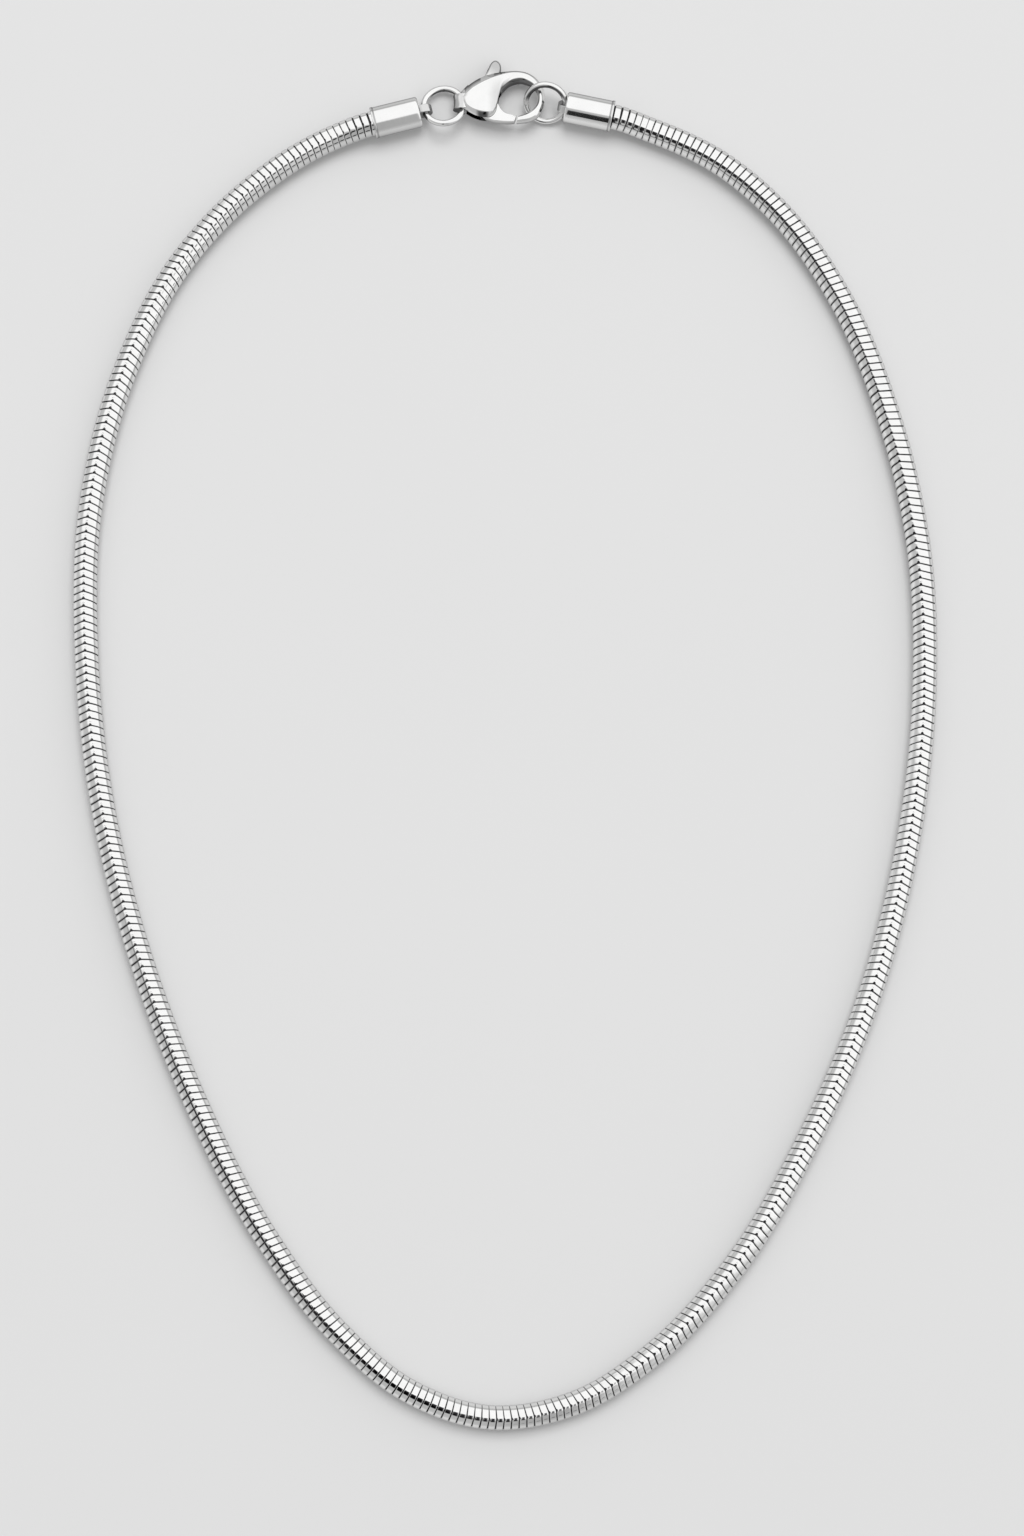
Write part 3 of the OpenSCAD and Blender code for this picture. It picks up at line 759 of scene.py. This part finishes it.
def ring_shade_paint(at, normal):
    """Painted shade on a ring's sides, and a painted dark reflection inside its far half."""
    sides = SIDE_DARK * rise(np.abs(normal[:, 2]), *RING_LEVEL)
    far_half = rise(at[:, 1] - at[:, 1].mean(), *RING_FAR)
    return np.maximum(sides, RING_DARK * far_half * rise(-normal[:, 1], *FACING))


def rib_ring(row):
    """Points round one rib of the clasp's body."""
    outer, inner = row[:2], row[2:4]
    middle, along = (outer + inner) / 2, unit(outer - inner)
    half_w = np.linalg.norm(outer - inner) / 2
    half_t = row[4] * CLASP_T / 2
    bevel, rounding = row[5] * CLASP_BEVEL, row[6] * CLASP_ROUND
    fit = min(1, RIB_SHARE * 2 * half_w / (bevel + rounding))
    top = [(half_w - s * fit * bevel, t * half_t) for s, t in RIB_BEVEL]
    top.append(((rounding - bevel) * fit / 2, half_t))
    top += [(s * fit * rounding - half_w, t * half_t) for s, t in reversed(RIB_ROUND)]
    low = [(x, -z) for x, z in reversed(top)]
    return [(middle[0] + x * along[0], middle[1] + x * along[1], z) for x, z in top + low]


def tail_eye():
    """Eye at the clasp's tail, waisted round the middle."""
    waist_r = ((TAIL_W / 2) ** 2 + TAIL_WAIST ** 2) / (2 * TAIL_WAIST)
    sweep = math.degrees(math.asin(TAIL_W / 2 / waist_r))
    waist = arc((0, TAIL_R - TAIL_WAIST + waist_r), waist_r, 270 - sweep, 270 + sweep, ARC_CUTS)
    eye = lathe("tail", [(-TAIL_W / 2, 0), *waist, (TAIL_W / 2, 0)], TAIL_CUTS)
    return place(eye, (TAIL_R, 0, 0), (90, "Z"))


def clasp_shade_paint(at, normal):
    """Painted shade and painted dark reflections in the claw and the slot, on the far bevel and at the
    lobe's and the tail's edges.
    """
    x, y = (at[:, :2] / CLASP_L).T
    towards = CLAW_MIDDLE - at[:, :2] / CLASP_L
    away = np.linalg.norm(towards, axis=1)
    facing = np.sum(normal[:, :2] * towards, axis=1) / away
    in_claw = (x > CLAW_STARTS) & (away < CLAW_REACH)
    wall_dark = WALL_SIDE_DARK + (WALL_DARK - WALL_SIDE_DARK) * rise(y, *WALL_ACROSS)
    wall = wall_dark * rise(facing, *FACING) * in_claw
    in_slot = (np.abs(at[:, 2]) < SLOT_T / 2 + SLACK) & (x > SLOT_STARTS) & ~in_claw
    slot = SLOT_DARK * in_slot * (np.abs(normal[:, 2]) > SLOT_LEVEL)
    bevel = BEVEL_DARK * rise(normal[:, 1], *FACING) * (x > BEVEL_STARTS) * ~in_claw
    roll = ROLL_DARK * rise(x, *ROLL_STARTS) * rise(x, *ROLL_ENDS) * rise(y, *ROLL_ACROSS)
    lobe = LOBE_DARK * rise(-normal[:, 1], *FACING) * rise(x, *LOBE_STARTS) * rise(x, *LOBE_ENDS)
    tail = rise(x, *TAIL_ENDS) * np.maximum(TAIL_DARK, RIM_DARK * rise(normal[:, 2], *TAIL_LEVEL))
    return np.max([wall, slot, bevel, roll, lobe, tail], axis=0)


def in_clasp(made):
    """Puts a piece of the clasp, drawn lying flat, in its place."""
    return place(made, CLASP_AT, (-CLASP_ROLL, "X"))


def clasp_shell():
    """The clasp's body, drawn lying flat with its tail at the origin."""
    scale = np.ones(CLAW_RIBS.shape[1])
    scale[:RIB_PLACES] = CLASP_L
    reach = GATE_REACH + GATE_GAP
    tip = [PIN_AT * CLASP_L + reach * turned(a)[:2] for a in (TIP_LOW, TIP_HIGH)]
    ribs = np.vstack([CLAW_RIBS * scale, np.concatenate([*tip, TIP_RIB])])
    made = loft("clasp_shell", [rib_ring(r) for r in smooth_rows(ribs, RIB_STEPS)])
    combine(made, tail_eye(), "UNION")
    bore(made, TAIL_HOLE_R, TAIL_W, (TAIL_R, 0, 0), (90, "Z"), EYE_CUTS)
    outline = SLOT_OUTLINE * CLASP_L
    slot = loft("slot", [[(x, y, z) for x, y in outline] for z in (-SLOT_T / 2, SLOT_T / 2)])
    combine(made, slot, "DIFFERENCE")
    bore(made, PIN_R, SLOT_T / 2 + PIN_SEAT, PIN_PLACE, (90, "Y"), PIN_CUTS)
    smooth(made, CLASP_SHARP)
    # Painted shade and painted dark reflections on the body
    return in_clasp(darken(made, clasp_shade_paint))


def clasp_lever():
    """The lever with its gate and thumb tab."""
    angles = np.linspace(TIP_LOW, TIP_HIGH, LEVER_TIP_CUTS + 1)
    tip = np.array([GATE_REACH * turned(a)[:2] for a in angles])
    outline = np.vstack([tip, smooth_rows(LEVER_OUTLINE * CLASP_L, LEVER_STEPS)])
    half = LEVER_T / 2
    rings = [[(x, y, -half) for x, y in inset(outline, LEVER_EDGE + TAB_RIM)]]
    for turn in np.radians(np.linspace(0, 90, LEVER_EDGE_CUTS + 1)):
        depth = LEVER_EDGE * (1 - math.sin(turn))
        z = -half + LEVER_EDGE * (1 - math.cos(turn))
        rings.append([(x, y, z) for x, y in inset(outline, depth)])
    rings += [[(x, y, -z) for x, y, z in ring] for ring in reversed(rings)]
    made = loft("lever", rings)
    bore(made, PIN_R + PIN_GAP / 2, LEVER_T, (0, 0, 0), (90, "Y"), PIN_CUTS)
    smooth(made, CLASP_SHARP)

    def tab_shade_paint(at, normal):
        """Painted shade on the thumb tab, darker along its rim."""
        on_tab = rise(at[:, 1] / CLASP_L, *TAB_ACROSS)
        from_edge = np.linalg.norm(at[:, None, :2] - outline, axis=2).min(axis=1)
        return on_tab * np.where(from_edge < LEVER_EDGE + TAB_RIM / 2, RIM_DARK, TAB_DARK)

    # Painted shade on the thumb tab
    darken(made, tab_shade_paint)
    return in_clasp(place(made, PIN_PLACE))


# Materials


def node_material(name):
    """A new material with its nodes, links and shader."""
    made = bpy.data.materials.new(name)
    made.use_nodes = True
    nodes = made.node_tree.nodes
    return made, nodes, made.node_tree.links, nodes["Principled BSDF"]


def noise(nodes, links, scale, detail):
    """A noise over the object's own coordinates."""
    where = nodes.new("ShaderNodeTexCoord")
    made = nodes.new("ShaderNodeTexNoise")
    made.inputs["Scale"].default_value = scale
    made.inputs["Detail"].default_value = detail
    links.new(where.outputs["Object"], made.inputs["Vector"])
    return made.outputs["Fac"]


def set_range(node, span, levels):
    """Sets a Map Range node's two values and the levels that it gives for them."""
    for name, number in zip(("From Min", "From Max", "To Min", "To Max"), (*span, *levels)):
        node.inputs[name].default_value = number


def two_tones(nodes, links, value, low, high, span):
    """A colour between two, by a value over a span."""
    made = nodes.new("ShaderNodeValToRGB")
    for element, colour, at in zip(made.color_ramp.elements, (low, high), span):
        element.color = (*colour, 1)
        element.position = at
    links.new(value, made.inputs["Fac"])
    return made.outputs["Color"]


def silver(name, edge, grain, bump):
    """Polished silver with slight clouding and fine scratches of a grain and strength, with painted
    shade and painted dark reflections where the stored darkness says so. The edge is its tint at grazing
    angles."""
    made, nodes, links, shader = node_material(name)
    shader.inputs["Metallic"].default_value = 1.0
    shader.inputs["Specular Tint"].default_value = (edge, edge, edge, 1)
    cloud = noise(nodes, links, grain / CLOUD_SIZE, CLOUD_DETAIL)
    rough = nodes.new("ShaderNodeMapRange")
    set_range(rough, ROUGH_SPAN, SILVER_ROUGH)
    links.new(cloud, rough.inputs["Value"])
    links.new(rough.outputs["Result"], shader.inputs["Roughness"])
    clouded = [c * CLOUDED for c in SILVER_TINT]
    colour = two_tones(nodes, links, cloud, clouded, SILVER_TINT, CLOUD_SPAN)
    # Painted shade and dark reflections: the stored darkness mixes the tint towards near black
    painted_shading = nodes.new("ShaderNodeAttribute")
    painted_shading.attribute_name = "painted_shading"
    shaded_colour = nodes.new("ShaderNodeMix")
    shaded_colour.data_type = "RGBA"
    links.new(painted_shading.outputs["Fac"], shaded_colour.inputs["Factor"])
    links.new(colour, shaded_colour.inputs["A"])
    shaded_colour.inputs["B"].default_value = SHADE_PAINT_COLOUR
    links.new(shaded_colour.outputs["Result"], shader.inputs["Base Color"])
    relief = nodes.new("ShaderNodeBump")
    relief.inputs["Strength"].default_value = bump
    relief.inputs["Distance"].default_value = SCRATCH_DEPTH
    links.new(noise(nodes, links, grain, SCRATCH_DETAIL), relief.inputs["Height"])
    links.new(relief.outputs["Normal"], shader.inputs["Normal"])
    return made


def paper():
    """Matt pale paper for the surface under the chain."""
    made, nodes, links, shader = node_material("pale_surface")
    shader.inputs["Roughness"].default_value = PAPER_ROUGH
    shader.inputs["Specular IOR Level"].default_value = PAPER_SHINE
    cloud = noise(nodes, links, PAPER_SCALE, PAPER_DETAIL)
    tones = [(FLOOR_TONE * share,) * 3 for share in (FLOOR_CLOUDED, 1)]
    links.new(two_tones(nodes, links, cloud, *tones, (0, 1)), shader.inputs["Base Color"])
    return made


def paint(made, material):
    """Gives a piece its material."""
    made.data.materials.clear()
    made.data.materials.append(material)


# Surroundings


def studio_world():
    """White overhead and to the upper right, grey to the lower left and low on the left."""
    world = bpy.data.worlds.new("studio")
    bpy.context.scene.world = world
    world.use_nodes = True
    nodes, links = world.node_tree.nodes, world.node_tree.links
    back = nodes["Background"]
    back.inputs["Color"].default_value = (1, 1, 1, 1)
    where = nodes.new("ShaderNodeTexCoord")
    split = nodes.new("ShaderNodeSeparateXYZ")
    links.new(where.outputs["Generated"], split.inputs["Vector"])

    def maths(kind, a, b=None):
        """Result of a Math node with numbers or other nodes' results."""
        node = nodes.new("ShaderNodeMath")
        node.operation = kind
        for socket, value in zip(node.inputs, (a, b)):
            if isinstance(value, (int, float)):
                socket.default_value = value
            elif value is not None:
                links.new(value, socket)
        return node.outputs[0]

    def ramp(value, low, high, from_level, to_level):
        """Level that changes smoothly while a value goes from low to high."""
        node = nodes.new("ShaderNodeMapRange")
        node.interpolation_type = "SMOOTHSTEP"
        links.new(value, node.inputs["Value"])
        set_range(node, (low, high), (from_level, to_level))
        return node.outputs["Result"]

    def levels(angle, stops):
        """Level at an angle of the direction, between stops (angle, level)."""
        node = nodes.new("ShaderNodeValToRGB")
        links.new(maths("DIVIDE", angle, 360), node.inputs["Fac"])
        first, *others = stops
        elements = node.color_ramp.elements
        elements.remove(elements[1])
        elements[0].position = first[0] / 360
        elements[0].color = (first[1],) * 3 + (1,)
        for at, level in others:
            elements.new(at / 360).color = (level,) * 3 + (1,)
        return node.outputs["Color"]

    x, y, z = split.outputs
    tilt = maths("MULTIPLY", maths("ARCCOSINE", z), 180 / math.pi)
    turn = maths("MULTIPLY", maths("ARCTAN2", y, x), 180 / math.pi)
    turn = maths("MODULO", maths("ADD", turn, 360), 360)
    # How far the direction lies towards the dim side
    aim = turned(DIM_TURN)
    towards = maths("ADD", maths("MULTIPLY", x, aim[0]), maths("MULTIPLY", y, aim[1]))
    grey = maths("MULTIPLY", levels(tilt, DIM_SIDE), levels(turn, DIM_ROUND))
    lift = maths("MULTIPLY", levels(turn, LIFT_ROUND), ramp(tilt, *LIFT_ENDS, 1, 0))
    grey = maths("ADD", grey, lift)
    band = maths("MULTIPLY", levels(turn, BAND_ROUND), maths("SUBTRACT", 1, levels(tilt, BAND_SIDE)))
    bright = maths("MINIMUM", levels(tilt, BRIGHT_SIDE), maths("SUBTRACT", 1, band))
    on_dim = ramp(towards, *DIM_START, 0, 1)
    light = maths("ADD", maths("MULTIPLY", bright, maths("SUBTRACT", 1, on_dim)),
                  maths("MULTIPLY", grey, on_dim))
    links.new(maths("MULTIPLY", light, PANEL_LIGHT), back.inputs["Strength"])


def dark_card():
    """A dark card that stands clear below the loop and shows only in the metal."""
    (low_y, low), (high_y, high) = CARD_EDGES
    left, right = CARD_SIDES
    points = [(left, low_y, low), (right, low_y, low), (right, high_y, high), (left, high_y, high)]
    made = mesh_object("dark_card", points, [(0, 1, 2, 3)])
    material, nodes, links, shader = node_material("dark_card")
    nodes.remove(shader)
    black = nodes.new("ShaderNodeEmission")
    black.inputs["Strength"].default_value = CARD_LIGHT
    clear = nodes.new("ShaderNodeBsdfTransparent")
    mixed = nodes.new("ShaderNodeMixShader")
    where = nodes.new("ShaderNodeTexCoord")
    split = nodes.new("ShaderNodeSeparateXYZ")
    fade = nodes.new("ShaderNodeMapRange")
    set_range(fade, (CARD_FADE, high), (0, 1))
    links.new(where.outputs["Object"], split.inputs["Vector"])
    links.new(split.outputs["Z"], fade.inputs["Value"])
    links.new(fade.outputs["Result"], mixed.inputs["Fac"])
    links.new(black.outputs["Emission"], mixed.inputs[1])
    links.new(clear.outputs["BSDF"], mixed.inputs[2])
    links.new(mixed.outputs["Shader"], nodes["Material Output"].inputs["Surface"])
    paint(made, material)
    made.visible_camera = False
    made.visible_diffuse = False
    made.visible_shadow = False


def key_light():
    """A square soft light, aimed at the loop's middle, that the metal doesn't mirror."""
    data = bpy.data.lights.new("key", "AREA")
    data.shape = "SQUARE"
    data.size = KEY_SIZE
    data.energy = KEY_POWER
    made = bpy.data.objects.new("key", data)
    bpy.context.scene.collection.objects.link(made)
    at = KEY_AWAY * math.cos(math.radians(KEY_RISE)) * turned(KEY_TURN)
    at[2] = KEY_AWAY * math.sin(math.radians(KEY_RISE))
    made.location = at
    made.rotation_euler = (-Vector(at)).to_track_quat("-Z", "Y").to_euler()
    made.visible_glossy = False


def camera():
    """Looks straight down from over the middle of the photograph's frame."""
    data = bpy.data.cameras.new("camera")
    data.sensor_width = SENSOR
    data.lens = LENS
    data.clip_start = CLIP_NEAR
    data.clip_end = CLIP_FAR
    made = bpy.data.objects.new("camera", data)
    bpy.context.scene.collection.objects.link(made)
    made.location = (*VIEW_MIDDLE, VIEW_HEIGHT)
    bpy.context.scene.camera = made


def floor():
    """Large pale surface at the foot of the object."""
    half = FLOOR_SIZE / 2
    points = [(-half, -half, 0), (half, -half, 0), (half, half, 0), (-half, half, 0)]
    made = mesh_object("floor", points, [(0, 1, 2, 3)])
    paint(made, paper())
    made.visible_glossy = False


# The necklace

link_silver = silver("link_silver", edge=0.7, grain=4200, bump=0.15)
fitting_silver = silver("polished_silver", edge=0.35, grain=2600, bump=0.12)

for piece in chain_links():
    paint(piece, link_silver)
    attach(piece, "necklace")
    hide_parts("snake_chain")

cap_left = end_cap("cap_left", EYE_OUT_LEFT)
place(cap_left, MOUTH_LEFT_AT, (CAP_RISE_LEFT, "Z"), (-EYE_TURN_LEFT, "X"))
cap_right = end_cap("cap_right", EYE_OUT_RIGHT)
place(cap_right, MOUTH_RIGHT_AT, (180 - CAP_RISE_RIGHT, "Z"), (-EYE_TURN_RIGHT, "X"))
ring_left = place(jump_ring("ring_left"), RING_LEFT_AT, (CAP_RISE_LEFT / 2, "Z"), (-RING_TILT_LEFT, "X"))
ring_right = place(jump_ring("ring_right"), RING_RIGHT_AT, (-CAP_RISE_RIGHT, "Z"), (RING_TILT_RIGHT, "X"))
shell = clasp_shell()
lever = clasp_lever()

# Painted shade and a painted dark reflection on the rings
for ring in (ring_left, ring_right):
    darken(ring, ring_shade_paint)
for piece, body, node in [
    (cap_left, "necklace", "end_cap_left"), (cap_right, "necklace", "end_cap_right"),
    (ring_left, "necklace", "jump_ring_left"), (ring_right, "necklace", "jump_ring_right"),
    (shell, "necklace", "clasp_body"), (lever, "lever", "clasp_lever"),
]:
    paint(piece, fitting_silver)
    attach(piece, body)
    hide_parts(node)
paint(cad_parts["clasp_pin"], fitting_silver)

floor()
studio_world()
dark_card()
key_light()
camera()
bpy.context.scene.view_settings.view_transform = "Standard"
